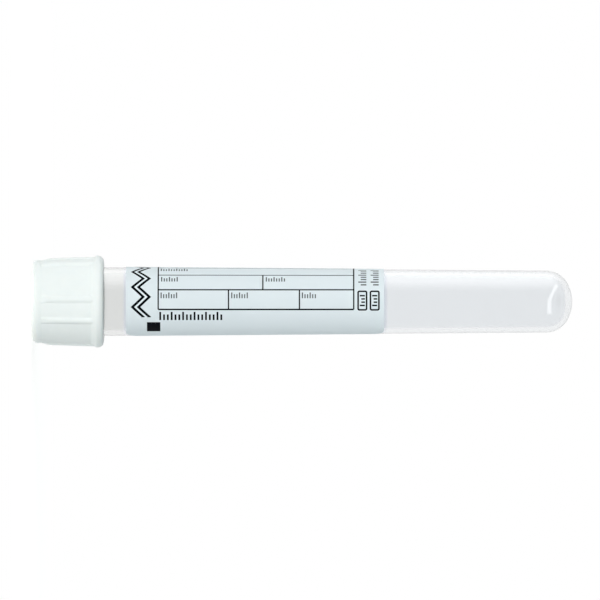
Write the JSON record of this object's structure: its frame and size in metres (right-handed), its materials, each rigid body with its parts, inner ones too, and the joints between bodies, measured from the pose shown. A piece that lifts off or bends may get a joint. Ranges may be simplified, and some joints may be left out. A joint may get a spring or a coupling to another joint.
{
  "type": "blood collection tube",
  "caption": "Clear round-bottomed sample tube with a wrap-round printed film label, closed by a white ribbed pull-off cap with a rubber stopper and retaining ring.",
  "frame": {"origin": "middle of the closure's flat head rim, on the tube's axis; the tube stands on this rim with its round end up", "axes": "+Z along the tube from the closure's head to the round closed end; -Y faces the printed front of the label"},
  "size_m": [0.0178, 0.0178, 0.105],
  "materials": {
    "clear_plastic": "clear, gloss, faintly hazed",
    "label_film": "satin printed film",
    "cap_plastic": "satin moulded polyethylene",
    "stopper_rubber": "matt moulded rubber"
  },
  "bodies": {
    "closure": {"cap": "cap_plastic", "retaining_ring": "cap_plastic", "stopper": "stopper_rubber"},
    "tube": {"tube": "clear_plastic", "label": "label_film"}
  },
  "joints": [
    {"name": "tube_pull", "type": "slide", "parent": "closure", "child": "tube", "axis": [0, 0, 1], "range_m": [0, 0.03]}
  ]
}
